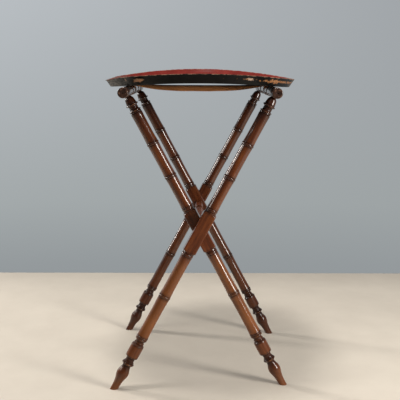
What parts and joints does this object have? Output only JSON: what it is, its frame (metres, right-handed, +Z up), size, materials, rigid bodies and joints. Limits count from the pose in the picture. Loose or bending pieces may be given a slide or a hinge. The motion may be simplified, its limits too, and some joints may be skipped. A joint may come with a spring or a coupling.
{
  "type": "folding tray table",
  "caption": "Folding tray table: an oval lacquered tray with a flared rim lies on a folding X-stand of turned, bamboo-style legs, with a pivot bar and a webbing strap.",
  "frame": {"origin": "on the floor, midway between the four feet, under the middle of the tray", "axes": "+Z up; +X from the left rail to the right rail; +Y from the front to the back, along the rails and the pivot"},
  "size_m": [0.4536, 0.598, 0.7295],
  "materials": {
    "turned_wood": "polished",
    "rail_wood": "polished",
    "bearer_wood": "bare",
    "old_brass": "tarnished",
    "brown_webbing": "woven",
    "lacquered_tray": "lacquered"
  },
  "bodies": {
    "outer_frame": {"leg_outer_front": "turned_wood", "leg_outer_back": "turned_wood", "rail_right": "rail_wood", "strap": "brown_webbing", "tenon_pin_outer_front": "old_brass", "tenon_pin_outer_back": "old_brass", "strap_tack_right_front": "old_brass", "strap_tack_right_middle": "old_brass", "strap_tack_right_back": "old_brass"},
    "inner_frame": {"leg_inner_front": "turned_wood", "leg_inner_back": "turned_wood", "rail_left": "rail_wood", "pivot_stretcher": "turned_wood", "tenon_pin_inner_front": "old_brass", "tenon_pin_inner_back": "old_brass", "strap_tack_left_front": "old_brass", "strap_tack_left_middle": "old_brass", "strap_tack_left_back": "old_brass"},
    "tray": {"tray": "lacquered_tray", "bearer_front_left": "bearer_wood", "bearer_front_right": "bearer_wood", "bearer_back_left": "bearer_wood", "bearer_back_right": "bearer_wood"}
  },
  "joints": [
    {"name": "fold", "type": "hinge", "parent": "outer_frame", "child": "inner_frame", "pos_m": [0, 0, 0.37006], "axis": [0, 1, 0], "range_deg": [0, 50], "deforming": ["strap"]},
    {"name": "tray_lift", "type": "slide", "parent": "outer_frame", "child": "tray", "axis": [0, 0, 1], "range_m": [0, 0.2]}
  ],
  "couplings": [
    {"joint": "tray_lift", "follows": "fold", "m_per_rad": 0.22}
  ]
}
